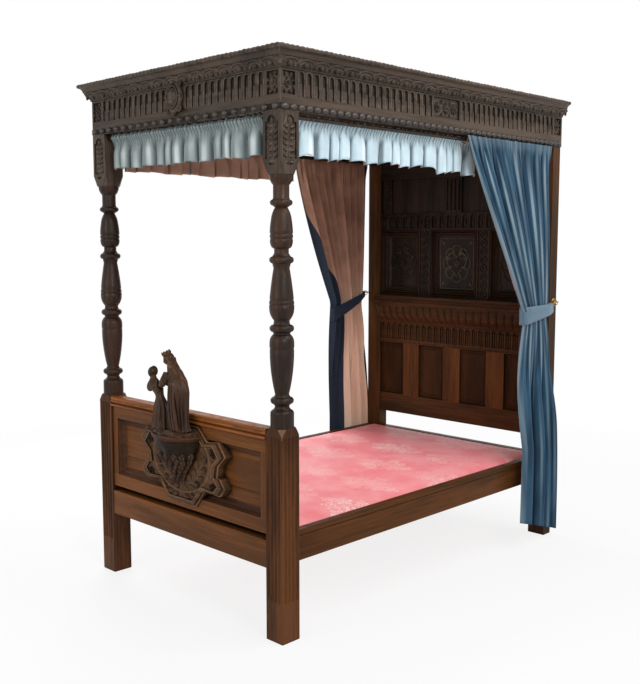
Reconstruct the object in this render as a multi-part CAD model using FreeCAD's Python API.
import FreeCAD, Part
import math
import os

from FreeCAD import Vector

# Plan of the bed in millimetres: X across, Y from the foot to the head, Z up from the floor
POST_SPREAD = 1270.0
FRAME_LENGTH = 2017.0
SHELF_REACH = 118.0
HEAD_OVERHANG = 10.0

# Fits between pieces, and the overrun that carries a cut past a face
FIT = 0.2
SOFT_FIT = 0.3
OVERRUN = 5.0

# Posts
POST_WIDTH = 96.0
HEAD_POST_DEPTH = 66.0
LEG_HEIGHT = 862.0
TURNED_HEIGHT = 975.0
BLOCK_HEIGHT = 235.0
LEG_CHAMFER_HEIGHT = 29.0
LEG_CHAMFER_WIDTH = 24.0
BLOCK_CHAMFER_HEIGHT = 48.0
BLOCK_CHAMFER_WIDTH = 27.0
FLUTE_COUNT = 4
FLUTE_PITCH = 20.0
FLUTE_RADIUS = 8.0
FLUTE_DEPTH = 5.0
FLUTE_BOTTOM = 170.0
FLUTE_TOP_MARGIN = 40.0
POST_PIN_RADIUS = 11.0
POST_PIN_HEIGHT = 40.0

# Turned shaft from the bottom up: share of its height, share of half the post width, and the
# outward bulge of the stretch that ends there, as a share of half the post width
TURNING_SHARES = (
    (0.000, 0.97, 0.00),
    (0.057, 0.97, 0.00),
    (0.071, 0.81, 0.05),
    (0.087, 0.59, -0.05),
    (0.096, 0.70, 0.00),
    (0.124, 0.68, 0.27),
    (0.134, 0.57, 0.00),
    (0.348, 0.99, 0.11),
    (0.376, 0.68, 0.07),
    (0.384, 0.72, 0.00),
    (0.414, 0.70, 0.29),
    (0.431, 0.65, -0.03),
    (0.474, 1.01, 0.08),
    (0.526, 0.96, 0.02),
    (0.637, 0.65, 0.02),
    (0.655, 0.74, 0.00),
    (0.683, 0.74, 0.25),
    (0.695, 0.59, 0.00),
    (0.712, 0.59, 0.00),
    (0.718, 0.78, 0.00),
    (0.826, 0.83, 0.09),
    (0.873, 0.51, 0.06),
    (0.880, 0.70, 0.00),
    (0.904, 0.70, 0.21),
    (0.912, 0.65, 0.00),
    (0.960, 0.65, 0.00),
    (1.000, 0.97, 0.09),
)

# Joints of the frame
TENON_LENGTH = 40.0
TENON_THICKNESS = 14.0
TENON_SHOULDER = 12.0
STUB_LENGTH = 22.0
PANEL_TONGUE = 9.0

# Rails of the bed, slats and padded base
FOOT_RAIL_UNDERSIDE = 293.0
FOOT_RAIL_HEIGHT = 112.0
FOOT_RAIL_THICKNESS = 40.0
FOOT_RAIL_SETBACK = 4.0
SIDE_RAIL_UNDERSIDE = 320.0
SIDE_RAIL_HEIGHT = 125.0
SIDE_RAIL_THICKNESS = 34.0
SIDE_RAIL_SETBACK = 10.0
BEAD_GROOVE_DROP = 21.0
BEAD_GROOVE_WIDTH = 4.0
BEAD_GROOVE_DEPTH = 3.0
HEAD_RAIL_THICKNESS = 36.0
LEDGER_RISE = 5.0
LEDGER_WIDTH = 30.0
LEDGER_HEIGHT = 30.0
SLAT_COUNT = 11
SLAT_WIDTH = 85.0
SLAT_THICKNESS = 18.0
SLAT_END_MARGIN = 30.0
BASE_THICKNESS = 82.0
BASE_SIDE_GAP = 15.0
BASE_END_GAP = 16.0
BASE_CROWN = 9.0
BASE_DRAW_IN = 5.0

# Irons that hook the side rails to the posts
IRON_WIDTH = 24.0
IRON_HEIGHT = 96.0
IRON_THICKNESS = 5.0
HOOK_WIDTH = 6.0
HOOK_LENGTH = 20.0
HOOK_BAR_HEIGHT = 12.0
HOOK_TIP_LENGTH = 8.0
HOOK_DROP = 10.0
HOOK_SPACING = 46.0
HOOK_CLEARANCE = 1.0

# Footboard
FOOTBOARD_SETBACK = 10.0
FOOTBOARD_THICKNESS = 46.0
FOOTBOARD_GAP = 25.0
FOOT_BOTTOM_RAIL_HEIGHT = 58.0
FOOT_TOP_RAIL_HEIGHT = 53.0
FOOT_CAP_HEIGHT = 46.0
FOOT_CAP_DROP = 6.0
FOOT_CAP_PROJECTION = 8.0
FOOT_STILE_WIDTH = 38.0
FOOT_PANEL_RECESS = 30.0
FOOT_PANEL_THICKNESS = 10.0
FOOT_MOULDING_WIDTH = 34.0
FOOT_MOULDING_SETBACK = 4.0
FOOT_MOULDING_STEP = 12.0
MOULDING_EDGE = 3.0

# Moulded section of the footboard cap: share of the projection, share of the cap height
CAP_PROFILE_SHARES = (
    (0.0, 0.0), (0.3, 0.12), (0.35, 0.36), (0.8, 0.46), (1.0, 0.62), (1.0, 0.86), (0.6, 1.0))

# Cartouche on the footboard
CARTOUCHE_DIP = 38.0
CARTOUCHE_RISE = 47.0
CARTOUCHE_HALF_WIDTH = 298.0
CARTOUCHE_STEP = 9.0
CARTOUCHE_UPPER_SHARE = 0.94
CARTOUCHE_PACKING_SHARE = 0.33
CARTOUCHE_SHARES = (
    (0.40, 1.000),
    (0.60, 0.835),
    (0.86, 0.867),
    (0.88, 0.840),
    (1.00, 0.706),
    (0.84, 0.580),
    (0.81, 0.430),
    (0.88, 0.425),
    (0.98, 0.310),
    (0.88, 0.217),
    (0.54, 0.230),
    (0.32, 0.000),
)

# Bracket shelf with its corbel, the plinth on it and the two carved figures
SHELF_RISE = 11.0
SHELF_THICKNESS = 22.0
SHELF_HALF_WIDTH = 125.0
CORBEL_HEIGHT = 190.0
CORBEL_SHARES = (
    (0.0, 0.20, 0.16), (0.25, 0.34, 0.36), (0.55, 0.62, 0.62), (0.85, 0.86, 0.84), (1.0, 0.92, 0.92))
PLINTH_HEIGHT = 26.0
PLINTH_FOOT_SHARE = 0.96
PLINTH_TOP_SHARE = 0.86
TALL_FIGURE_HEIGHT = 326.0
TALL_FIGURE_HALF_WIDTH = 52.0
TALL_FIGURE_X = 46.0
TALL_FIGURE_REACH = 42.0
TALL_FIGURE_LEAN = 62.0
SMALL_FIGURE_HEIGHT = 256.0
SMALL_FIGURE_HALF_WIDTH = 40.0
SMALL_FIGURE_X = -56.0
SMALL_FIGURE_REACH = 52.0
SMALL_FIGURE_LEAN = 34.0
FIGURE_DEPTH_SHARE = 0.72
# Robe from the hem up: share of the height, share of the half width, share of the lean
TALL_ROBE_SHARES = (
    (0.00, 0.96, 0.00), (0.10, 0.90, 0.02), (0.35, 0.92, 0.00), (0.55, 0.98, 0.10),
    (0.70, 0.80, 0.40), (0.78, 0.50, 0.66), (0.86, 0.28, 0.90))
SMALL_ROBE_SHARES = (
    (0.00, 1.00, 0.00), (0.10, 0.92, 0.02), (0.40, 0.66, 0.10), (0.52, 0.52, 0.25),
    (0.68, 0.78, 0.70), (0.76, 0.62, 0.85), (0.86, 0.26, 0.97))
HEAD_SHARES = (0.90, 0.078)
CROWN_SHARES = (0.93, 1.00, 0.30, 0.40)
CAP_SHARES = (0.95, 1.00, 0.36, 0.14)

# Headboard, from its underside to the tops of the posts
HEADBOARD_GAP = 95.0
HEADBOARD_SETBACK = 6.0
HEADBOARD_THICKNESS = 56.0
HEAD_BOTTOM_RAIL_HEIGHT = 114.0
LOWER_PANEL_COUNT = 4
LOWER_MUNTIN_WIDTH = 117.0
LOWER_PANEL_RECESS = 12.0
ARCADED_RAIL_HEIGHT = 127.0
GADROON_HEIGHT = 112.0
GADROON_PROJECTION = 46.0
SHELF_RAIL_HEIGHT = 165.0
HEAD_SHELF_PROJECTION = 64.0
MIDDLE_PANEL_HEIGHT = 391.0
GUILLOCHE_CENTRE = 205.0
GUILLOCHE_WIDTH = 85.0
MIDDLE_PANEL_RECESS = 43.0
HEAD_PANEL_THICKNESS = 9.0
MIDDLE_MOULDING_WIDTH = 52.0
MIDDLE_MOULDING_SETBACK = 3.0
MIDDLE_MOULDING_STEP = 18.0
ROSETTE_HALF_WIDTH = 106.0
ROSETTE_HALF_HEIGHT = 134.0
ROSETTE_THICKNESS = 10.0
NULLED_RAIL_HEIGHT = 95.0
TOP_PANEL_HEIGHT = 205.0
HEAD_TOP_RAIL_HEIGHT = 122.0
TOP_MUNTIN_WIDTH = 110.0
TOP_STRIP_CENTRE = 488.0
TOP_STRIP_WIDTH = 60.0
TOP_PANEL_RECESS = 10.0

# Moulded sections on the headboard: share of the projection, share of the height
GADROON_SHARES = ((0.16, 0.0), (0.28, 0.10), (0.62, 0.26), (0.90, 0.52), (1.0, 0.84), (1.0, 1.0))
HEAD_SHELF_SHARES = (
    (0.72, 0.0), (0.72, 0.22), (0.86, 0.36), (0.86, 0.55), (1.0, 0.62), (1.0, 0.94), (0.94, 1.0))

# Canopy
FRIEZE_HEIGHT = 153.0
FRIEZE_THICKNESS = 30.0
CORNICE_HEIGHT = 75.0
CORNICE_OVERHANG = 53.0
CORNICE_BEARING = 12.0
BEAD_HEIGHT = 26.0
BEAD_PROJECTION = 14.0
BOSS_HALF_WIDTH = 54.0
BOSS_HALF_HEIGHT = 74.0
BOSS_UNDERSIDE_RISE = 35.0
BOSS_PROJECTION = 40.0
BOSS_RIM = 8.0
CORNER_BLOCK_HEIGHT = 100.0
TESTER_COUNT = 9
TESTER_THICKNESS = 14.0
TESTER_GAP = 2.0

# Moulded section of the cornice: share of the overhang, share of the height, bulge share
CORNICE_SHARES = (
    (0.10, 0.00, 0.00),
    (0.10, 0.10, 0.00),
    (0.50, 0.50, 0.07),
    (0.56, 0.52, 0.00),
    (0.86, 0.79, -0.09),
    (0.90, 0.81, 0.00),
    (1.00, 0.88, 0.03),
    (1.00, 1.00, 0.00),
)

# Rods and their sockets
ROD_RADIUS = 8.0
ROD_DROP = 20.0
CURTAIN_ROD_INSET = 23.0
PELMET_ROD_INSET = 63.0
FRONT_ROD_INSET = 30.0
SOCKET_RADIUS = 13.0
SOCKET_LENGTH = 12.0

# Pelmets: gathered cloth on the inner rods
PELMET_TOP_GAP = 3.0
PELMET_DROP = 158.0
PELMET_DEPTH = 26.0
PELMET_FOLD_DEPTH = 9.0
PELMET_FOLD_PITCH = 68.0
PELMET_END_GAP = 14.0
PELMET_SIDE_RUN = 1130.0
PELMET_SHARES = ((0.0, 0.86), (0.10, 0.74), (0.24, 0.82), (1.0, 1.0))

# Curtains: heading, tie and hem of the cloth, measured along the bed from the foot posts
CURTAIN_HEADING_GAP = 4.0
CURTAIN_LEAD_RIGHT = 1073.0
CURTAIN_LEAD_LEFT = 1222.0
CURTAIN_HEADING_BACK_GAP = 31.0
CURTAIN_HEADING_INNER = 9.0
CURTAIN_HEADING_DEPTH = 24.0
CURTAIN_FOLDS = 7
CURTAIN_FOLD_SHARE = 0.42
TIE_TOP = 1225.0
TIE_BAND_HEIGHT = 62.0
TIE_LEAD_GAP = 319.0
TIE_BACK_GAP = 19.0
TIE_DEPTH = 44.0
CURTAIN_CLEARANCE = 3.0
HEM_LEAD_HEIGHT = 148.0
HEM_BACK_HEIGHT = 41.0
HEM_LEAD_GAP = 339.0
HEM_BACK_REACH = 50.0
HEM_DEPTH = 48.0

# Way of the leading edge from the heading to the tie: share of the height, share of the way
UPPER_CLOTH_SHARES = ((1.0, 0.0), (0.88, 0.06), (0.66, 0.26), (0.41, 0.61), (0.18, 0.89), (0.05, 1.0))
# Way of the cloth from the tie to the hem: share of the drop, share of the way outward
LOWER_CLOTH_SHARES = ((0.0, 0.0), (0.05, 0.10), (0.28, 0.62), (0.60, 0.90), (1.0, 1.0))

# Curtain rings, tieback bands and their hooks
RING_COUNT = 8
RING_BORE = 12.0
RING_WIRE = 2.0
RING_END_GAP = 25.0
BAND_THICKNESS = 4.0
EYE_BORE = 10.0
EYE_WIRE = 2.2
EYE_RISE = 37.0
EYE_SETBACK = 8.0
TAB_WIDTH = 6.0
HOOK_PLATE_RADIUS = 19.0
HOOK_PLATE_THICKNESS = 4.0
HOOK_STEM_RADIUS = 4.0
HOOK_STANDOFF = 26.0
HOOK_ARM_PAST_EYE = 14.0
HOOK_TIP_RADIUS = 6.5

# Heights and planes that the pieces share
POST_TOP = LEG_HEIGHT + TURNED_HEIGHT + BLOCK_HEIGHT
FRIEZE_TOP = POST_TOP + FRIEZE_HEIGHT
SIDE_X = POST_SPREAD / 2
POST_INNER_X = SIDE_X - POST_WIDTH
FOOT_Y = (SHELF_REACH - FRAME_LENGTH) / 2
BACK_Y = FOOT_Y + FRAME_LENGTH
FOOT_POST_BACK = FOOT_Y + POST_WIDTH
HEAD_POST_BACK = BACK_Y - HEAD_OVERHANG
HEAD_POST_FRONT = HEAD_POST_BACK - HEAD_POST_DEPTH
SIDE_RAIL_OUTER = SIDE_X - SIDE_RAIL_SETBACK
SIDE_RAIL_INNER = SIDE_RAIL_OUTER - SIDE_RAIL_THICKNESS
SIDE_RAIL_TOP = SIDE_RAIL_UNDERSIDE + SIDE_RAIL_HEIGHT
SLAT_UNDERSIDE = SIDE_RAIL_UNDERSIDE + LEDGER_RISE + LEDGER_HEIGHT
SLAT_TOP = SLAT_UNDERSIDE + SLAT_THICKNESS
FOOTBOARD_FRONT = FOOT_Y + FOOTBOARD_SETBACK
FOOTBOARD_BACK = FOOTBOARD_FRONT + FOOTBOARD_THICKNESS
FOOT_PANEL_FRONT = FOOTBOARD_FRONT + FOOT_PANEL_RECESS
FOOTBOARD_UNDERSIDE = FOOT_RAIL_UNDERSIDE + FOOT_RAIL_HEIGHT + FOOTBOARD_GAP
FOOT_PANEL_BOTTOM = FOOTBOARD_UNDERSIDE + FOOT_BOTTOM_RAIL_HEIGHT
FOOT_CAP_BOTTOM = LEG_HEIGHT - FOOT_CAP_DROP - FOOT_CAP_HEIGHT
FOOT_PANEL_TOP = FOOT_CAP_BOTTOM - FOOT_TOP_RAIL_HEIGHT
CARTOUCHE_UNDERSIDE = FOOT_PANEL_BOTTOM - CARTOUCHE_DIP
CARTOUCHE_HEIGHT = FOOT_PANEL_TOP + CARTOUCHE_RISE - CARTOUCHE_UNDERSIDE
SHELF_TOP = FOOT_PANEL_TOP + SHELF_RISE
CARTOUCHE_FRONT = FOOTBOARD_FRONT - 2 * CARTOUCHE_STEP
HEADBOARD_FRONT = HEAD_POST_FRONT + HEADBOARD_SETBACK
HEADBOARD_BACK = HEADBOARD_FRONT + HEADBOARD_THICKNESS
HEADBOARD_UNDERSIDE = SIDE_RAIL_TOP + HEADBOARD_GAP
LOWER_PANEL_BOTTOM = HEADBOARD_UNDERSIDE + HEAD_BOTTOM_RAIL_HEIGHT
TOP_PANEL_TOP = POST_TOP - HEAD_TOP_RAIL_HEIGHT
NULLED_RAIL_TOP = TOP_PANEL_TOP - TOP_PANEL_HEIGHT
MIDDLE_PANEL_TOP = NULLED_RAIL_TOP - NULLED_RAIL_HEIGHT
SHELF_RAIL_TOP = MIDDLE_PANEL_TOP - MIDDLE_PANEL_HEIGHT
SHELF_RAIL_BOTTOM = SHELF_RAIL_TOP - SHELF_RAIL_HEIGHT
LOWER_PANEL_TOP = SHELF_RAIL_BOTTOM - ARCADED_RAIL_HEIGHT
ROD_Z = POST_TOP - ROD_DROP
CURTAIN_ROD_X = SIDE_X - CURTAIN_ROD_INSET
PELMET_ROD_X = SIDE_X - PELMET_ROD_INSET
TIE_LEAD = HEAD_POST_FRONT - TIE_LEAD_GAP
TIE_BACK = HEAD_POST_FRONT - TIE_BACK_GAP
TIE_BOTTOM = TIE_TOP - TIE_BAND_HEIGHT
CLOTH_X = SIDE_X + CURTAIN_CLEARANCE
ORIGIN = Vector(0, 0, 0)
UP = Vector(0, 0, 1)
ACROSS = Vector(1, 0, 0)
ALONG = Vector(0, 1, 0)


def block(x_span, y_span, z_span):
    """Box between two values on each axis."""
    corner = Vector(x_span[0], y_span[0], z_span[0])
    return Part.makeBox(x_span[1] - x_span[0], y_span[1] - y_span[0], z_span[1] - z_span[0], corner)


def mirrored(shape):
    """The same shape on the other side of the bed."""
    return shape.mirror(ORIGIN, ACROSS)


def pair(shape):
    """A shape and its mirror image, as two separate solids."""
    return [shape, mirrored(shape)]


def grown(shape, clearance=FIT):
    """Housing that takes a boxlike piece with a clearance all round."""
    box = shape.BoundBox
    return block((box.XMin - clearance, box.XMax + clearance),
                 (box.YMin - clearance, box.YMax + clearance),
                 (box.ZMin - clearance, box.ZMax + clearance))


def polygon_prism(points, direction):
    """Prism on a closed outline of points."""
    return Part.Face(Part.makePolygon(list(points) + [points[0]])).extrude(direction)


def bulged_edges(points):
    """Lines and arcs through points; each point carries the bulge of the stretch that ends there."""
    edges = []
    for (start, _), (end, bulge) in zip(points, points[1:]):
        if bulge == 0:
            edges.append(Part.LineSegment(start, end).toShape())
            continue
        along = end - start
        side = Vector(along.z, 0, -along.x) if along.y == 0 else Vector(0, -along.z, along.y)
        middle = (start + end) * 0.5 + side.normalize() * bulge
        edges.append(Part.Arc(start, middle, end).toShape())
    return edges


def tenoned_rail(reach, y_span, z_span):
    """Cross rail with a tenon at each end, and the full-length core that the tenons belong to."""
    middle = (y_span[0] + y_span[1]) / 2
    core = block((-reach - TENON_LENGTH, reach + TENON_LENGTH),
                 (middle - TENON_THICKNESS / 2, middle + TENON_THICKNESS / 2),
                 (z_span[0] + TENON_SHOULDER, z_span[1] - TENON_SHOULDER))
    return block((-reach, reach), y_span, z_span).fuse(core).removeSplitter(), core


def tenoned_upright(x_span, y_span, z_span):
    """Upright with a stub tenon at each end, and the full-height core of its tenons."""
    middle = (y_span[0] + y_span[1]) / 2
    shoulder = min(TENON_SHOULDER, (x_span[1] - x_span[0]) / 4)
    core = block((x_span[0] + shoulder, x_span[1] - shoulder),
                 (middle - TENON_THICKNESS / 2, middle + TENON_THICKNESS / 2),
                 (z_span[0] - STUB_LENGTH, z_span[1] + STUB_LENGTH))
    return block(x_span, y_span, z_span).fuse(core).removeSplitter(), core


def panel(x_span, z_span, face_y, thickness):
    """Panel with its tongue all round."""
    return block((x_span[0] - PANEL_TONGUE, x_span[1] + PANEL_TONGUE), (face_y, face_y + thickness),
                 (z_span[0] - PANEL_TONGUE, z_span[1] + PANEL_TONGUE))


def housed(member, pieces):
    """A member with a housing for each piece that enters it."""
    return member.cut([grown(piece) for piece in pieces])


def framed_moulding(x_span, z_span, y_span, width, step):
    """Stepped and splayed moulding round the inside of an opening."""
    ring = block(x_span, y_span, z_span)
    middle_y = (y_span[0] + y_span[1]) / 2
    wires = []
    for inset, y in ((MOULDING_EDGE, y_span[0]), (step, middle_y)):
        wires.append(rectangle_wire(x_span, z_span, inset, y))
    ring = ring.cut(Part.makeLoft(wires, True, True))
    wires = []
    for inset, y in ((step + MOULDING_EDGE, middle_y), (width, y_span[1])):
        wires.append(rectangle_wire(x_span, z_span, inset, y))
    return ring.cut(Part.makeLoft(wires, True, True))


def rectangle_wire(x_span, z_span, inset, y):
    """Upright rectangle drawn in from an opening's edges."""
    left, right = x_span[0] + inset, x_span[1] - inset
    low, high = z_span[0] + inset, z_span[1] - inset
    corners = [Vector(left, y, low), Vector(right, y, low), Vector(right, y, high), Vector(left, y, high)]
    return Part.makePolygon(corners + [corners[0]])


def corner_wedge(corner, inward_x, inward_y, width, rise):
    """Tetrahedron that takes a chamfer off a square corner, growing from its tip to its broad end."""
    tip = corner + UP * rise
    a = corner + Vector(inward_x * width, 0, 0)
    b = corner + Vector(0, inward_y * width, 0)
    faces = []
    for triangle in ((corner, a, b), (corner, a, tip), (corner, b, tip), (a, b, tip)):
        faces.append(Part.Face(Part.makePolygon(list(triangle) + [triangle[0]])))
    return Part.makeSolid(Part.makeShell(faces))


def square_chamfers(centre, z, width, rise):
    """Wedges for the four corners of a square post section."""
    half = POST_WIDTH / 2
    wedges = []
    for sx in (-1, 1):
        for sy in (-1, 1):
            wedges.append(corner_wedge(centre + Vector(sx * half, sy * half, z), -sx, -sy, width, rise))
    return wedges


def turned_shaft(centre):
    """Turned part of a front post."""
    half = POST_WIDTH / 2
    points = []
    for height_share, radius_share, bulge_share in TURNING_SHARES:
        z = LEG_HEIGHT + height_share * TURNED_HEIGHT
        points.append((Vector(radius_share * half, 0, z), bulge_share * half))
    edges = bulged_edges(points)
    bottom, top = points[0][0], points[-1][0]
    edges.append(Part.LineSegment(top, UP * top.z).toShape())
    edges.append(Part.LineSegment(UP * top.z, UP * bottom.z).toShape())
    edges.append(Part.LineSegment(UP * bottom.z, bottom).toShape())
    shaft = Part.Face(Part.Wire(edges)).revolve(ORIGIN, UP, 360)
    shaft.translate(centre)
    return shaft


def leg_flutes(centre):
    """Round-ended flutes on the two faces of a leg that look outward."""
    half = POST_WIDTH / 2
    away = half + FLUTE_RADIUS - FLUTE_DEPTH
    top = LEG_HEIGHT - FLUTE_TOP_MARGIN
    tools = []
    for index in range(FLUTE_COUNT):
        shift = (index - (FLUTE_COUNT - 1) / 2) * FLUTE_PITCH
        for place in (Vector(shift, -away, 0), Vector(away, shift, 0)):
            foot = centre + place + UP * FLUTE_BOTTOM
            tools.append(Part.makeCylinder(FLUTE_RADIUS, top - FLUTE_BOTTOM, foot))
            tools.append(Part.makeSphere(FLUTE_RADIUS, centre + place + UP * top))
            tools.append(Part.makeSphere(FLUTE_RADIUS, foot))
    return tools


def front_post():
    """Right-hand front post, before the joints are cut."""
    half = POST_WIDTH / 2
    centre = Vector(SIDE_X - half, FOOT_Y + half, 0)
    x_span = (centre.x - half, centre.x + half)
    y_span = (centre.y - half, centre.y + half)
    leg = block(x_span, y_span, (0, LEG_HEIGHT)).cut(leg_flutes(centre))
    leg = leg.cut(square_chamfers(centre, LEG_HEIGHT, LEG_CHAMFER_WIDTH, -LEG_CHAMFER_HEIGHT))
    crown_z = LEG_HEIGHT + TURNED_HEIGHT
    top = block(x_span, y_span, (crown_z, POST_TOP))
    top = top.cut(square_chamfers(centre, crown_z, BLOCK_CHAMFER_WIDTH, BLOCK_CHAMFER_HEIGHT))
    return leg.fuse([turned_shaft(centre), top]).removeSplitter()


def post_pin(seat):
    """Round pin on top of a post that holds a corner block of the canopy."""
    return Part.makeCylinder(POST_PIN_RADIUS, POST_PIN_HEIGHT, seat)


def hook_outline(start_y, toward, z):
    """Hooked tongue of a rail iron, seen from the side of the bed."""
    end = start_y + toward * HOOK_LENGTH
    tip = end - toward * HOOK_TIP_LENGTH
    low = z - HOOK_DROP
    high = z + HOOK_BAR_HEIGHT
    return [(start_y, z), (start_y, high), (end, high), (end, low), (tip, low), (tip, z)]


def irons_at(face_y, toward):
    """Rail iron, post iron and the pocket behind it, where a right-hand side rail meets a post."""
    centre_x = (SIDE_RAIL_OUTER + SIDE_RAIL_INNER) / 2
    centre_z = (SIDE_RAIL_UNDERSIDE + SIDE_RAIL_TOP) / 2
    x_span = (centre_x - IRON_WIDTH / 2, centre_x + IRON_WIDTH / 2)
    z_span = (centre_z - IRON_HEIGHT / 2, centre_z + IRON_HEIGHT / 2)
    rail_plate = block(x_span, sorted((face_y - toward * IRON_THICKNESS, face_y)), z_span)
    post_plate = block(x_span, sorted((face_y, face_y + toward * IRON_THICKNESS)), z_span)
    slots = []
    for step in (-1, 1):
        z = centre_z + step * HOOK_SPACING / 2
        corners = [Vector(centre_x - HOOK_WIDTH / 2, y, h) for y, h in hook_outline(face_y, toward, z)]
        hook = polygon_prism(corners, ACROSS * HOOK_WIDTH)
        rail_plate = rail_plate.fuse(hook)
        slots.append(grown(hook, HOOK_CLEARANCE))
    return rail_plate.removeSplitter(), post_plate.cut(slots), slots


def crowned_base(x_half, y_span, z_span):
    """Padded base with a crowned top and sides drawn in between its edges."""
    low, high = z_span
    side = (low + high) / 2
    middle_y = (y_span[0] + y_span[1]) / 2
    edge = high - BASE_CROWN

    def section(place, inner_half):
        corners = [place(-inner_half, low), place(inner_half, low),
                   place(inner_half, edge), place(-inner_half, edge)]
        edges = [Part.LineSegment(corners[0], corners[1]).toShape(),
                 Part.Arc(corners[1], place(inner_half - BASE_DRAW_IN, side), corners[2]).toShape(),
                 Part.Arc(corners[2], place(0, high), corners[3]).toShape(),
                 Part.Arc(corners[3], place(BASE_DRAW_IN - inner_half, side), corners[0]).toShape()]
        return Part.Face(Part.Wire(edges))

    length = y_span[1] - y_span[0]
    across = section(lambda u, z: Vector(u, y_span[0], z), x_half).extrude(ALONG * length)
    along = section(lambda u, z: Vector(-x_half, middle_y + u, z), length / 2).extrude(ACROSS * 2 * x_half)
    return across.common(along)


def cartouche_face(scale_share, y):
    """Straight-sided shield outline of the cartouche, drawn in about its middle."""
    half_height = CARTOUCHE_HEIGHT / 2
    middle_z = CARTOUCHE_UNDERSIDE + half_height
    right = []
    for width_share, height_share in CARTOUCHE_SHARES:
        x = width_share * CARTOUCHE_HALF_WIDTH * scale_share
        right.append(Vector(x, y, middle_z + (2 * height_share - 1) * half_height * scale_share))
    left = [Vector(-point.x, y, point.z) for point in reversed(right)]
    return Part.Face(Part.makePolygon(right + left + [right[0]]))


def bowed_wire(half_width, reach, y, z):
    """D-shaped section that stands out from a board's face."""
    left, right = Vector(-half_width, y, z), Vector(half_width, y, z)
    bow = Part.Arc(left, Vector(0, y - reach, z), right).toShape()
    return Part.Wire([bow, Part.LineSegment(right, left).toShape()])


def bracket():
    """Half-round shelf on a corbel that tapers down the cartouche."""
    reach = CARTOUCHE_FRONT - (FOOT_Y - SHELF_REACH)
    under = SHELF_TOP - SHELF_THICKNESS
    shelf = Part.Face(bowed_wire(SHELF_HALF_WIDTH, reach, CARTOUCHE_FRONT, under))
    shelf = shelf.extrude(UP * SHELF_THICKNESS)
    wires = []
    for height_share, width_share, reach_share in CORBEL_SHARES:
        z = under - CORBEL_HEIGHT + height_share * CORBEL_HEIGHT
        wires.append(bowed_wire(SHELF_HALF_WIDTH * width_share, reach * reach_share, CARTOUCHE_FRONT, z))
    return shelf.fuse(Part.makeLoft(wires, True, True)).removeSplitter()


def ellipse_wire(centre, half_width, half_depth):
    """Level ellipse made of four arcs."""
    bow = math.sqrt(0.5)
    edges = []
    for sx, sy in ((1, 1), (-1, 1), (-1, -1), (1, -1)):
        side = centre + Vector(sx * half_width, 0, 0)
        front = centre + Vector(0, sy * half_depth, 0)
        middle = centre + Vector(sx * half_width * bow, sy * half_depth * bow, 0)
        ends = (side, front) if sx == sy else (front, side)
        edges.append(Part.Arc(ends[0], middle, ends[1]).toShape())
    return Part.Wire(edges)


def robed_figure(foot, height, half_width, lean, robe_shares, crown_shares):
    """Carved figure in a long robe that leans to one side, with its head and headdress."""
    depth = half_width * FIGURE_DEPTH_SHARE

    def centre(height_share, lean_share):
        return foot + Vector(-lean * lean_share, 0, height * height_share)

    wires = []
    for height_share, width_share, lean_share in robe_shares:
        middle = centre(height_share, lean_share)
        wires.append(ellipse_wire(middle, half_width * width_share, depth * width_share))
    head_share, head_radius_share = HEAD_SHARES
    head = Part.makeSphere(height * head_radius_share, centre(head_share, 1))
    foot_share, top_share, foot_width_share, top_width_share = crown_shares
    crown = Part.makeCone(half_width * foot_width_share, half_width * top_width_share,
                          height * (top_share - foot_share), centre(foot_share, 1))
    return Part.makeLoft(wires, True, True).fuse([head, crown]).removeSplitter()


def figure_plinth():
    """Rough half-round ground that the figures stand on."""
    reach = CARTOUCHE_FRONT - (FOOT_Y - SHELF_REACH)
    wires = []
    for share, z in ((PLINTH_FOOT_SHARE, SHELF_TOP), (PLINTH_TOP_SHARE, SHELF_TOP + PLINTH_HEIGHT)):
        wires.append(bowed_wire(SHELF_HALF_WIDTH * share, reach * share, CARTOUCHE_FRONT, z))
    return Part.makeLoft(wires, True, True)


def front_moulding(reach, face_y, z, height, projection, shares):
    """Straight moulding on a face that looks to the foot of the bed."""
    points = [Vector(-reach, face_y - out * projection, z + up * height) for out, up in shares]
    points = [Vector(-reach, face_y, z)] + points + [Vector(-reach, face_y, z + height)]
    if points[0] == points[1]:
        points = points[1:]
    return polygon_prism(points, ACROSS * 2 * reach)


def mitred_runs(section, depth):
    """Front and side runs of a moulding round the canopy, mitred at the front corners.

    The section takes an outer face and its direction and gives the closed face to be drawn along.
    """
    overhang = CORNICE_OVERHANG
    x_out = SIDE_X + overhang
    y_out = FOOT_Y - overhang
    x_in = SIDE_X - depth
    y_in = FOOT_Y + depth
    low = POST_TOP - OVERRUN
    tall = UP * (FRIEZE_HEIGHT + CORNICE_HEIGHT + 2 * OVERRUN)
    front_plan = [Vector(-x_out, y_out, low), Vector(x_out, y_out, low),
                  Vector(x_in, y_in, low), Vector(-x_in, y_in, low)]
    side_plan = [Vector(x_out, y_out, low), Vector(x_out, BACK_Y, low),
                 Vector(x_in, BACK_Y, low), Vector(x_in, y_in, low)]
    front = section(lambda out, z: Vector(-x_out, FOOT_Y - out, z)).extrude(ACROSS * 2 * x_out)
    side = section(lambda out, z: Vector(SIDE_X + out, y_out, z)).extrude(ALONG * (BACK_Y - y_out))
    front = front.common(polygon_prism(front_plan, tall))
    side = side.common(polygon_prism(side_plan, tall))
    return [front] + pair(side)


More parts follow.
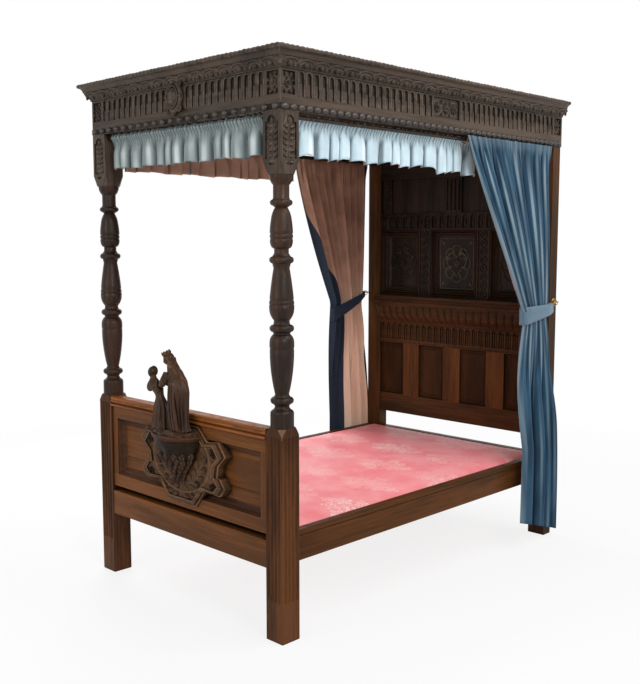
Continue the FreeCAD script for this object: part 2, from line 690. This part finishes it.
def cornice_section(place):
    """Cornice: bearing on the frieze, ogee, hollow and lip."""
    points = []
    for out_share, height_share, bulge_share in CORNICE_SHARES:
        corner = place(out_share * CORNICE_OVERHANG, FRIEZE_TOP + height_share * CORNICE_HEIGHT)
        points.append((corner, bulge_share * CORNICE_OVERHANG))
    edges = bulged_edges(points)
    inner_low = place(-CORNICE_BEARING, FRIEZE_TOP)
    inner_high = place(-CORNICE_BEARING, FRIEZE_TOP + CORNICE_HEIGHT)
    edges.append(Part.LineSegment(points[-1][0], inner_high).toShape())
    edges.append(Part.LineSegment(inner_high, inner_low).toShape())
    edges.append(Part.LineSegment(inner_low, points[0][0]).toShape())
    return Part.Face(Part.Wire(edges))


def bead_section(place):
    """Half-round bead at the foot of the frieze."""
    low = place(0, POST_TOP)
    high = place(0, POST_TOP + BEAD_HEIGHT)
    crest = place(BEAD_PROJECTION, POST_TOP + BEAD_HEIGHT / 2)
    bead = Part.Arc(low, crest, high).toShape()
    return Part.Face(Part.Wire([bead, Part.LineSegment(high, low).toShape()]))


def fold_wire(place, start, end, inner, outer, fold_depth, folds):
    """Gathered cloth in plan: a row of round folds outside and a straight back.

    The place takes a distance along the cloth and one across it and gives a point.
    """
    step = (end - start) / folds
    valley = outer - fold_depth
    edges = []
    for index in range(folds):
        first = start + index * step
        edges.append(Part.Arc(place(first, valley), place(first + step / 2, outer),
                              place(first + step, valley)).toShape())
    edges.append(Part.LineSegment(place(end, valley), place(end, inner)).toShape())
    edges.append(Part.LineSegment(place(end, inner), place(start, inner)).toShape())
    edges.append(Part.LineSegment(place(start, inner), place(start, valley)).toShape())
    return Part.Wire(edges)


def pelmet(place, start, end):
    """Short gathered hanging on a rod; the place takes along, across and height."""
    folds = max(1, round((end - start) / PELMET_FOLD_PITCH))
    top = POST_TOP - PELMET_TOP_GAP
    wires = []
    for drop_share, depth_share in PELMET_SHARES:
        z = top - drop_share * PELMET_DROP
        half = PELMET_DEPTH * depth_share / 2
        wires.append(fold_wire(lambda along, out, z=z: place(along, out, z), start, end, -half, half,
                               PELMET_FOLD_DEPTH * depth_share, folds))
    return Part.makeLoft(wires, True, True)


def between(first, last, share):
    """Value part of the way from one to another."""
    return first + (last - first) * share


def curtain_section(lead, back, inner, depth, z_lead, z_back):
    """Section of a right-hand curtain; its plane may slope along the bed."""

    def place(along, out):
        return Vector(out, along, between(z_lead, z_back, (along - lead) / (back - lead)))

    return fold_wire(place, lead, back, inner, inner + depth, depth * CURTAIN_FOLD_SHARE, CURTAIN_FOLDS)


def curtain(lead_gap):
    """Right-hand curtain: heading on the rod, drawn in at the tie, and falling to a sloping hem."""
    heading_z = POST_TOP - CURTAIN_HEADING_GAP
    heading_lead = FOOT_POST_BACK + lead_gap
    heading_back = HEAD_POST_FRONT - CURTAIN_HEADING_BACK_GAP
    heading_x = SIDE_X - CURTAIN_HEADING_INNER
    wires = []
    for height_share, way_share in UPPER_CLOTH_SHARES:
        z = between(TIE_TOP, heading_z, height_share)
        fall_share = 1 - height_share
        wires.append(curtain_section(between(heading_lead, TIE_LEAD, way_share),
                                     between(heading_back, TIE_BACK, fall_share),
                                     between(heading_x, CLOTH_X, fall_share),
                                     between(CURTAIN_HEADING_DEPTH, TIE_DEPTH, fall_share), z, z))
    wires.append(curtain_section(TIE_LEAD, TIE_BACK, CLOTH_X, TIE_DEPTH, TIE_TOP, TIE_TOP))
    hem_lead = HEAD_POST_FRONT - HEM_LEAD_GAP
    hem_back = HEAD_POST_BACK - HEAD_POST_DEPTH + HEM_BACK_REACH
    for drop_share, way_share in LOWER_CLOTH_SHARES:
        wires.append(curtain_section(between(TIE_LEAD, hem_lead, way_share),
                                     between(TIE_BACK, hem_back, way_share),
                                     CLOTH_X, between(TIE_DEPTH, HEM_DEPTH, way_share),
                                     between(TIE_BOTTOM, HEM_LEAD_HEIGHT, drop_share),
                                     between(TIE_BOTTOM, HEM_BACK_HEIGHT, drop_share)))
    return Part.makeLoft(wires, True, True)


def torus_along_bed(bore, wire, centre):
    """Ring of round wire whose opening looks along the bed."""
    return Part.makeTorus(bore + wire, wire, centre, ALONG)


def curtain_rings(lead_gap):
    """Rings that carry a right-hand curtain on its rod."""
    first = FOOT_POST_BACK + lead_gap + RING_END_GAP
    last = HEAD_POST_FRONT - CURTAIN_HEADING_BACK_GAP - RING_END_GAP
    z = ROD_Z - RING_BORE + ROD_RADIUS + SOFT_FIT
    rings = []
    for index in range(RING_COUNT):
        y = between(first, last, index / (RING_COUNT - 1))
        rings.append(torus_along_bed(RING_BORE, RING_WIRE, Vector(CURTAIN_ROD_X, y, z)))
    return rings


def tieback():
    """Right-hand tieback: a band round the cloth with an eye for the hook."""
    inner_x = (CLOTH_X - SOFT_FIT, CLOTH_X + TIE_DEPTH + SOFT_FIT)
    inner_y = (TIE_LEAD - SOFT_FIT, TIE_BACK + SOFT_FIT)
    z_span = (TIE_BOTTOM, TIE_TOP)
    outer = block((inner_x[0] - BAND_THICKNESS, inner_x[1] + BAND_THICKNESS),
                  (inner_y[0] - BAND_THICKNESS, inner_y[1] + BAND_THICKNESS), z_span)
    band = outer.cut(block(inner_x, inner_y, z_span))
    eye = torus_along_bed(EYE_BORE, EYE_WIRE, eye_centre())
    middle = eye_centre()
    x = middle.x - TAB_WIDTH / 2
    low = middle.z - EYE_BORE - EYE_WIRE
    tab = polygon_prism([Vector(x, inner_y[1], TIE_BOTTOM),
                         Vector(x, inner_y[1] + BAND_THICKNESS, TIE_BOTTOM),
                         Vector(x, middle.y + EYE_WIRE / 2, low),
                         Vector(x, middle.y - EYE_WIRE / 2, low),
                         Vector(x, inner_y[1], TIE_TOP)], ACROSS * TAB_WIDTH)
    return band.fuse([eye, tab]).removeSplitter()


def eye_centre():
    """Middle of the tieback's eye on the arm of its hook."""
    x = SIDE_X + HOOK_PLATE_THICKNESS + HOOK_STANDOFF
    return Vector(x, HEAD_POST_FRONT + EYE_SETBACK, TIE_TOP + EYE_RISE)


def tieback_hook():
    """Right-hand hook: a round plate on the head post, a stem and an arm with a ball tip."""
    eye = eye_centre()
    post_middle = (HEAD_POST_FRONT + HEAD_POST_BACK) / 2
    axis_z = eye.z + EYE_BORE - HOOK_TIP_RADIUS - SOFT_FIT
    seat = Vector(SIDE_X, post_middle, axis_z)
    plate = Part.makeCylinder(HOOK_PLATE_RADIUS, HOOK_PLATE_THICKNESS, seat, ACROSS)
    stem = Part.makeCylinder(HOOK_STEM_RADIUS, eye.x - SIDE_X, seat, ACROSS)
    elbow = Part.makeSphere(HOOK_STEM_RADIUS, Vector(eye.x, post_middle, axis_z))
    tip_y = eye.y - HOOK_ARM_PAST_EYE
    arm = Part.makeCylinder(HOOK_STEM_RADIUS, post_middle - tip_y, Vector(eye.x, tip_y, axis_z), ALONG)
    tip = Part.makeSphere(HOOK_TIP_RADIUS, Vector(eye.x, tip_y, axis_z))
    return plate.fuse([stem, elbow, arm, tip]).removeSplitter()


def frame_parts():
    """Posts, rails, irons, slats and base."""
    parts = {}
    mattress_half = SIDE_RAIL_INNER - BASE_SIDE_GAP
    mattress_span = (FOOT_POST_BACK + BASE_END_GAP, HEADBOARD_FRONT - BASE_END_GAP)
    foot_rail_y = (FOOT_Y + FOOT_RAIL_SETBACK, FOOT_Y + FOOT_RAIL_SETBACK + FOOT_RAIL_THICKNESS)
    foot_rail_z = (FOOT_RAIL_UNDERSIDE, FOOT_RAIL_UNDERSIDE + FOOT_RAIL_HEIGHT)
    parts["foot_rail"], foot_core = tenoned_rail(POST_INNER_X, foot_rail_y, foot_rail_z)
    head_rail_y = (HEADBOARD_FRONT, HEADBOARD_FRONT + HEAD_RAIL_THICKNESS)
    head_rail_z = (SIDE_RAIL_UNDERSIDE, SIDE_RAIL_TOP)
    parts["head_rail"], head_core = tenoned_rail(POST_INNER_X, head_rail_y, head_rail_z)

    rail_irons = []
    post_irons = []
    side_rail = block((SIDE_RAIL_INNER, SIDE_RAIL_OUTER), (FOOT_POST_BACK, HEAD_POST_FRONT),
                      (SIDE_RAIL_UNDERSIDE, SIDE_RAIL_TOP))
    groove_z = SIDE_RAIL_TOP - BEAD_GROOVE_DROP
    side_rail = side_rail.cut(block((SIDE_RAIL_OUTER - BEAD_GROOVE_DEPTH, SIDE_RAIL_OUTER + OVERRUN),
                                    (FOOT_POST_BACK - OVERRUN, HEAD_POST_FRONT + OVERRUN),
                                    (groove_z - BEAD_GROOVE_WIDTH, groove_z)))
    foot_post = front_post()
    pin_x = (POST_INNER_X + SIDE_X - FRIEZE_THICKNESS) / 2
    front_pin = Vector(pin_x, (FOOT_Y + FRIEZE_THICKNESS + FOOT_POST_BACK) / 2, POST_TOP)
    head_pin = Vector(pin_x, (HEAD_POST_FRONT + BACK_Y - FRIEZE_THICKNESS) / 2, POST_TOP)
    foot_post = foot_post.fuse(post_pin(front_pin)).removeSplitter()
    head_post = block((POST_INNER_X, SIDE_X), (HEAD_POST_FRONT, HEAD_POST_BACK), (0, POST_TOP))
    head_post = head_post.fuse(post_pin(head_pin)).removeSplitter()
    posts = {"front": foot_post, "head": head_post}
    for name, face_y, toward in (("front", FOOT_POST_BACK, -1), ("head", HEAD_POST_FRONT, 1)):
        rail_iron, post_iron, slots = irons_at(face_y, toward)
        rail_irons += pair(rail_iron)
        post_irons += pair(post_iron)
        plate = block((rail_iron.BoundBox.XMin, rail_iron.BoundBox.XMax),
                      sorted((face_y - toward * IRON_THICKNESS, face_y)),
                      (rail_iron.BoundBox.ZMin, rail_iron.BoundBox.ZMax))
        side_rail = side_rail.cut(plate)
        posts[name] = posts[name].cut([grown(post_iron, 0)] + slots)
    parts["side_rail_irons"] = rail_irons
    parts["post_irons"] = post_irons
    parts["side_rail_right"] = side_rail
    parts["side_rail_left"] = mirrored(side_rail)

    ledger = block((SIDE_RAIL_INNER - LEDGER_WIDTH, SIDE_RAIL_INNER), mattress_span,
                   (SLAT_UNDERSIDE - LEDGER_HEIGHT, SLAT_UNDERSIDE))
    parts["slat_ledgers"] = pair(ledger)
    slats = []
    first = mattress_span[0] + SLAT_END_MARGIN
    last = mattress_span[1] - SLAT_END_MARGIN - SLAT_WIDTH
    for index in range(SLAT_COUNT):
        y = between(first, last, index / (SLAT_COUNT - 1))
        slats.append(block((FIT - SIDE_RAIL_INNER, SIDE_RAIL_INNER - FIT), (y, y + SLAT_WIDTH),
                           (SLAT_UNDERSIDE, SLAT_TOP)))
    parts["bed_slats"] = slats
    base_z = (SLAT_TOP, SLAT_TOP + BASE_THICKNESS)
    parts["mattress_base"] = crowned_base(mattress_half, mattress_span, base_z)
    return parts, posts, [foot_core], [head_core]


def footboard_parts():
    """Framed and panelled footboard with its cartouche, bracket and figures."""
    parts = {}
    y_span = (FOOTBOARD_FRONT, FOOTBOARD_BACK)
    bottom_z = (FOOTBOARD_UNDERSIDE, FOOT_PANEL_BOTTOM)
    top_z = (FOOT_PANEL_TOP, FOOT_CAP_BOTTOM)
    open_x = POST_INNER_X - FOOT_STILE_WIDTH
    bottom_rail, bottom_core = tenoned_rail(POST_INNER_X, y_span, bottom_z)
    top_rail, top_core = tenoned_rail(POST_INNER_X, y_span, top_z)
    open_z = (FOOT_PANEL_BOTTOM, FOOT_PANEL_TOP)
    stile, stile_core = tenoned_upright((open_x, POST_INNER_X), y_span, open_z)
    board = panel((-open_x, open_x), open_z, FOOT_PANEL_FRONT, FOOT_PANEL_THICKNESS)
    cores = pair(stile_core)
    parts["footboard_bottom_rail"] = housed(bottom_rail, cores + [board])
    parts["footboard_top_rail"] = housed(top_rail, cores + [board])
    parts["footboard_stiles"] = pair(housed(stile, [board]))
    parts["footboard_panel"] = board
    moulding_y = (FOOTBOARD_FRONT + FOOT_MOULDING_SETBACK, FOOT_PANEL_FRONT)
    parts["footboard_panel_moulding"] = framed_moulding((-open_x, open_x), open_z, moulding_y,
                                                        FOOT_MOULDING_WIDTH, FOOT_MOULDING_STEP)
    cap = front_moulding(POST_INNER_X, FOOTBOARD_FRONT, FOOT_CAP_BOTTOM, FOOT_CAP_HEIGHT,
                         FOOT_CAP_PROJECTION, CAP_PROFILE_SHARES)
    core = block((-POST_INNER_X, POST_INNER_X), y_span, (FOOT_CAP_BOTTOM, FOOT_CAP_BOTTOM + FOOT_CAP_HEIGHT))
    parts["footboard_cap"] = cap.fuse(core).removeSplitter()
    packing_x = CARTOUCHE_HALF_WIDTH * CARTOUCHE_PACKING_SHARE
    packing = block((-packing_x, packing_x), (FOOTBOARD_FRONT, FOOT_PANEL_FRONT),
                    (FOOT_PANEL_BOTTOM + FOOT_MOULDING_WIDTH, FOOT_PANEL_TOP - FOOT_MOULDING_WIDTH))
    lower = cartouche_face(1, FOOTBOARD_FRONT).extrude(ALONG * -CARTOUCHE_STEP)
    upper = cartouche_face(CARTOUCHE_UPPER_SHARE, FOOTBOARD_FRONT - CARTOUCHE_STEP)
    upper = upper.extrude(ALONG * -CARTOUCHE_STEP)
    parts["cartouche_board"] = lower.fuse([upper, packing]).removeSplitter()
    parts["cartouche_bracket"] = bracket()
    parts["figure_plinth"] = figure_plinth()
    ground = SHELF_TOP + PLINTH_HEIGHT
    tall_foot = Vector(TALL_FIGURE_X, CARTOUCHE_FRONT - TALL_FIGURE_REACH, ground)
    small_foot = Vector(SMALL_FIGURE_X, CARTOUCHE_FRONT - SMALL_FIGURE_REACH, ground)
    tall = robed_figure(tall_foot, TALL_FIGURE_HEIGHT, TALL_FIGURE_HALF_WIDTH, TALL_FIGURE_LEAN,
                        TALL_ROBE_SHARES, CROWN_SHARES)
    small = robed_figure(small_foot, SMALL_FIGURE_HEIGHT, SMALL_FIGURE_HALF_WIDTH, SMALL_FIGURE_LEAN,
                         SMALL_ROBE_SHARES, CAP_SHARES)
    parts["carved_figure_tall"] = tall
    parts["carved_figure_small"] = small.cut(tall)
    return parts, [bottom_core, top_core]


def headboard_parts():
    """Panelled headboard between the head posts, from the bottom rail to the top rail."""
    parts = {}
    y_span = (HEADBOARD_FRONT, HEADBOARD_BACK)
    levels = {
        "headboard_bottom_rail": (HEADBOARD_UNDERSIDE, LOWER_PANEL_BOTTOM),
        "headboard_arcaded_rail": (LOWER_PANEL_TOP, SHELF_RAIL_BOTTOM),
        "headboard_shelf_rail": (SHELF_RAIL_BOTTOM, SHELF_RAIL_TOP),
        "headboard_nulled_rail": (MIDDLE_PANEL_TOP, NULLED_RAIL_TOP),
        "headboard_top_rail": (TOP_PANEL_TOP, POST_TOP),
    }
    rails = {}
    cores = []
    for name, z_span in levels.items():
        rails[name], core = tenoned_rail(POST_INNER_X, y_span, z_span)
        cores.append(core)

    muntins = LOWER_PANEL_COUNT - 1
    panel_width = (2 * POST_INNER_X - muntins * LOWER_MUNTIN_WIDTH) / LOWER_PANEL_COUNT
    lower_z = (LOWER_PANEL_BOTTOM, LOWER_PANEL_TOP)
    middle_z = (SHELF_RAIL_TOP, MIDDLE_PANEL_TOP)
    top_z = (NULLED_RAIL_TOP, TOP_PANEL_TOP)
    lower_panels = []
    lower_spans = []
    for index in range(LOWER_PANEL_COUNT):
        x = index * (panel_width + LOWER_MUNTIN_WIDTH) - POST_INNER_X
        lower_panels.append(panel((x, x + panel_width), lower_z, HEADBOARD_FRONT + LOWER_PANEL_RECESS,
                                  HEAD_PANEL_THICKNESS))
        if index < muntins:
            lower_spans.append((x + panel_width, x + panel_width + LOWER_MUNTIN_WIDTH))
    inner = GUILLOCHE_CENTRE - GUILLOCHE_WIDTH / 2
    outer = GUILLOCHE_CENTRE + GUILLOCHE_WIDTH / 2
    openings = [(-POST_INNER_X, -outer), (-inner, inner), (outer, POST_INNER_X)]
    panel_y = HEADBOARD_FRONT + MIDDLE_PANEL_RECESS
    middle_panels = [panel(span, middle_z, panel_y, HEAD_PANEL_THICKNESS) for span in openings]
    half_muntin = TOP_MUNTIN_WIDTH / 2
    strip = (TOP_STRIP_CENTRE - TOP_STRIP_WIDTH / 2, TOP_STRIP_CENTRE + TOP_STRIP_WIDTH / 2)
    top_spans = [(-half_muntin, half_muntin), strip, (-strip[1], -strip[0])]
    top_panels = []
    for span in ((half_muntin, strip[0]), (strip[1], POST_INNER_X)):
        top_panels += pair(panel(span, top_z, HEADBOARD_FRONT + TOP_PANEL_RECESS, HEAD_PANEL_THICKNESS))
    stile_spans = [(inner, outer), (-outer, -inner)]

    stub_cores = []
    for name, spans, z_span, panels in (("headboard_lower_muntins", lower_spans, lower_z, lower_panels),
                                        ("headboard_guilloche_stiles", stile_spans, middle_z, middle_panels),
                                        ("headboard_top_muntins", top_spans, top_z, top_panels)):
        uprights = []
        for span in spans:
            upright, core = tenoned_upright(span, y_span, z_span)
            uprights.append(housed(upright, panels))
            stub_cores.append(core)
        parts[name] = uprights
    panels = lower_panels + middle_panels + top_panels
    for name, rail in rails.items():
        parts[name] = housed(rail, stub_cores + panels)
    parts["headboard_lower_panels"] = lower_panels
    parts["headboard_middle_panels"] = middle_panels
    parts["headboard_top_panels"] = top_panels
    moulding_y = (HEADBOARD_FRONT + MIDDLE_MOULDING_SETBACK, panel_y)
    mouldings = []
    for span in openings:
        mouldings.append(framed_moulding(span, middle_z, moulding_y,
                                         MIDDLE_MOULDING_WIDTH, MIDDLE_MOULDING_STEP))
    parts["headboard_panel_mouldings"] = mouldings
    middle = Vector(0, panel_y - ROSETTE_THICKNESS, (middle_z[0] + middle_z[1]) / 2)
    rosette = lozenge(middle, ROSETTE_HALF_WIDTH, ROSETTE_HALF_HEIGHT, ROSETTE_THICKNESS)
    parts["headboard_strapwork_rosette"] = rosette
    gadroon = front_moulding(POST_INNER_X, HEADBOARD_FRONT, SHELF_RAIL_BOTTOM, GADROON_HEIGHT,
                             GADROON_PROJECTION, GADROON_SHARES)
    parts["headboard_gadroon_moulding"] = gadroon
    shelf_z = SHELF_RAIL_BOTTOM + GADROON_HEIGHT
    shelf = front_moulding(POST_INNER_X, HEADBOARD_FRONT, shelf_z, SHELF_RAIL_TOP - shelf_z,
                           HEAD_SHELF_PROJECTION, HEAD_SHELF_SHARES)
    parts["headboard_shelf"] = shelf
    return parts, cores + panels


def lozenge(centre, half_width, half_height, thickness):
    """Applied ornament with four bowed sides."""
    bow = math.sqrt(0.5)
    wide, high = Vector(half_width, 0, 0), Vector(0, 0, half_height)
    tips = [wide, high, -wide, -high]
    edges = []
    for first, second in zip(tips, tips[1:] + tips[:1]):
        middle = (first + second) * bow
        edges.append(Part.Arc(centre + first, centre + middle, centre + second).toShape())
    return Part.Face(Part.Wire(edges)).extrude(ALONG * thickness)


def canopy_parts():
    """Frieze boards, cornice, bead, corner blocks and the boards of the tester."""
    parts = {}
    z_span = (POST_TOP, FRIEZE_TOP)
    inner_x = SIDE_X - FRIEZE_THICKNESS
    inner_y = FOOT_Y + FRIEZE_THICKNESS
    parts["frieze_front"] = block((-SIDE_X, SIDE_X), (FOOT_Y, inner_y), z_span)
    side = block((inner_x, SIDE_X), (inner_y, BACK_Y), z_span)
    parts["frieze_right"] = side
    parts["frieze_left"] = mirrored(side)
    back_y = BACK_Y - FRIEZE_THICKNESS
    parts["frieze_back"] = block((-inner_x, inner_x), (back_y, BACK_Y), z_span)
    cornices = mitred_runs(cornice_section, CORNICE_BEARING)
    parts["cornice_mouldings"] = cornices
    parts["bead_mouldings"] = mitred_runs(bead_section, 0)
    block_z = (POST_TOP, POST_TOP + CORNER_BLOCK_HEIGHT)
    blocks = []
    for y_span in ((inner_y, FOOT_POST_BACK), (HEAD_POST_FRONT, back_y)):
        corner = block((POST_INNER_X, inner_x), y_span, block_z)
        seat = Vector((POST_INNER_X + inner_x) / 2, (y_span[0] + y_span[1]) / 2, POST_TOP)
        bore = Part.makeCylinder(POST_PIN_RADIUS + SOFT_FIT, POST_PIN_HEIGHT + SOFT_FIT, seat)
        blocks += pair(corner.cut(bore))
    parts["canopy_corner_blocks"] = blocks
    boss_z = POST_TOP + BOSS_UNDERSIDE_RISE + BOSS_HALF_HEIGHT
    middle = Vector(0, FOOT_Y - BOSS_PROJECTION, boss_z)
    boss = lozenge(middle, BOSS_HALF_WIDTH, BOSS_HALF_HEIGHT, BOSS_PROJECTION)
    dish = lozenge(middle, BOSS_HALF_WIDTH - BOSS_RIM, BOSS_HALF_HEIGHT - BOSS_RIM, BOSS_RIM)
    parts["frieze_boss"] = boss.cut(dish).cut(cornices[0])
    tester_half = SIDE_X - CORNICE_BEARING - FIT
    start = FOOT_Y + CORNICE_BEARING + FIT
    pitch = (BACK_Y - start) / TESTER_COUNT
    boards = []
    for index in range(TESTER_COUNT):
        y = start + index * pitch
        boards.append(block((-tester_half, tester_half), (y, y + pitch - TESTER_GAP),
                            (FRIEZE_TOP, FRIEZE_TOP + TESTER_THICKNESS)))
    parts["tester_boards"] = boards
    return parts


def hanging_parts():
    """Rods, sockets, pelmets, curtains, rings, tiebacks and hooks."""
    parts = {}
    front_y = FOOT_Y + FRONT_ROD_INSET
    rod_length = HEAD_POST_FRONT - FOOT_POST_BACK
    rods = []
    sockets = []
    for x in (CURTAIN_ROD_X, PELMET_ROD_X):
        start = Vector(x, FOOT_POST_BACK, ROD_Z)
        rods += pair(Part.makeCylinder(ROD_RADIUS, rod_length, start, ALONG))
        for y in (FOOT_POST_BACK, HEAD_POST_FRONT - SOCKET_LENGTH):
            sockets += pair(socket(Vector(x, y, ROD_Z), ALONG))
    front_start = Vector(-POST_INNER_X, front_y, ROD_Z)
    rods.append(Part.makeCylinder(ROD_RADIUS, 2 * POST_INNER_X, front_start, ACROSS))
    sockets += pair(socket(front_start, ACROSS))
    parts["brass_rods"] = rods
    parts["rod_sockets"] = sockets
    front_half = POST_INNER_X - SOCKET_LENGTH - PELMET_END_GAP
    parts["pelmet_front"] = pelmet(lambda along, out, z: Vector(along, front_y - out, z),
                                   -front_half, front_half)
    side_start = FOOT_POST_BACK + SOCKET_LENGTH + PELMET_END_GAP
    side = pelmet(lambda along, out, z: Vector(PELMET_ROD_X + out, along, z), side_start,
                  FOOT_POST_BACK + PELMET_SIDE_RUN)
    parts["pelmet_right"] = side
    parts["pelmet_left"] = mirrored(side)
    parts["curtain_right"] = curtain(CURTAIN_LEAD_RIGHT)
    parts["curtain_left"] = mirrored(curtain(CURTAIN_LEAD_LEFT))
    parts["curtain_rings_right"] = curtain_rings(CURTAIN_LEAD_RIGHT)
    parts["curtain_rings_left"] = [mirrored(ring) for ring in curtain_rings(CURTAIN_LEAD_LEFT)]
    parts["tieback_right"] = tieback()
    parts["tieback_left"] = mirrored(tieback())
    parts["tieback_hooks"] = pair(tieback_hook())
    return parts


def socket(start, direction):
    """Short cup on a post that takes the end of a rod."""
    cup = Part.makeCylinder(SOCKET_RADIUS, SOCKET_LENGTH, start, direction)
    return cup.cut(Part.makeCylinder(ROD_RADIUS + FIT, SOCKET_LENGTH, start, direction))


def build():
    """All pieces by name."""
    parts, posts, front_cores, head_cores = frame_parts()
    foot, foot_tenons = footboard_parts()
    head, head_housings = headboard_parts()
    parts.update(foot)
    parts.update(head)
    parts.update(canopy_parts())
    parts.update(hanging_parts())
    front = housed(posts["front"], front_cores + foot_tenons)
    rear = housed(posts["head"], head_cores + head_housings)
    parts["front_post_right"] = front
    parts["front_post_left"] = mirrored(front)
    parts["head_post_right"] = rear
    parts["head_post_left"] = mirrored(rear)
    return parts


os.makedirs("parts", exist_ok=True)
for name, shape in build().items():
    if isinstance(shape, list):
        shape = Part.makeCompound(shape)
    shape.exportStep("parts/" + name + ".step")
